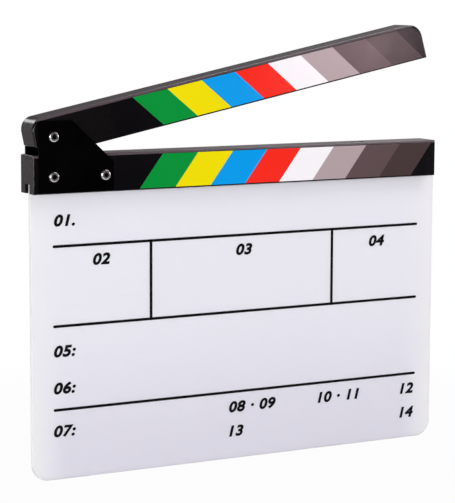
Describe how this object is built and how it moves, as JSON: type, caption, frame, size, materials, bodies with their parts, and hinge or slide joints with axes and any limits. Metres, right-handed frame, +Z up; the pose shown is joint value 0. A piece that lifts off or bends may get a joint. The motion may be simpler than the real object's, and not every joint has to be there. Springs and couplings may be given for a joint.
{
  "type": "clapperboard",
  "caption": "Hand-held clapperboard: a milky acrylic board under a fixed stick, and a second striped stick that swings on a pivot screw between cut-corner hinge plates.",
  "frame": {"origin": "middle of the board's lower edge, at half the board's thickness", "axes": "+X along the sticks from the hinge to the free end, +Y from the striped front to the back, +Z up"},
  "size_m": [0.3016, 0.0282, 0.2852],
  "materials": {
    "acrylic": "milky white cast acrylic, satin",
    "black_wood": "satin black paint on planed hardwood",
    "black_plate": "matt black powder coat",
    "steel": "bright stainless",
    "magnet": "nickel plated",
    "stripe_film": "printed vinyl with slanted colour and grey stripes, satin",
    "ink": "black screen-printing ink, satin"
  },
  "bodies": {
    "base": {"slate_board": "acrylic", "lower_stick": "black_wood", "front_hinge_plate": "black_plate", "back_hinge_plate": "black_plate", "pivot_screw": "steel", "pivot_nut": "steel", "fixing_screws": "steel", "fixing_nuts": "steel", "lower_magnet": "magnet", "lower_stripe_film": "stripe_film"},
    "clapper": {"upper_stick": "black_wood", "upper_magnet": "magnet", "upper_stripe_film": "stripe_film"}
  },
  "joints": [
    {"name": "clap", "type": "hinge", "parent": "base", "child": "clapper", "pos_m": [-0.1385, 0, 0.2187], "axis": [0, -1, 0], "range_deg": [-11.5, 33.5]}
  ]
}
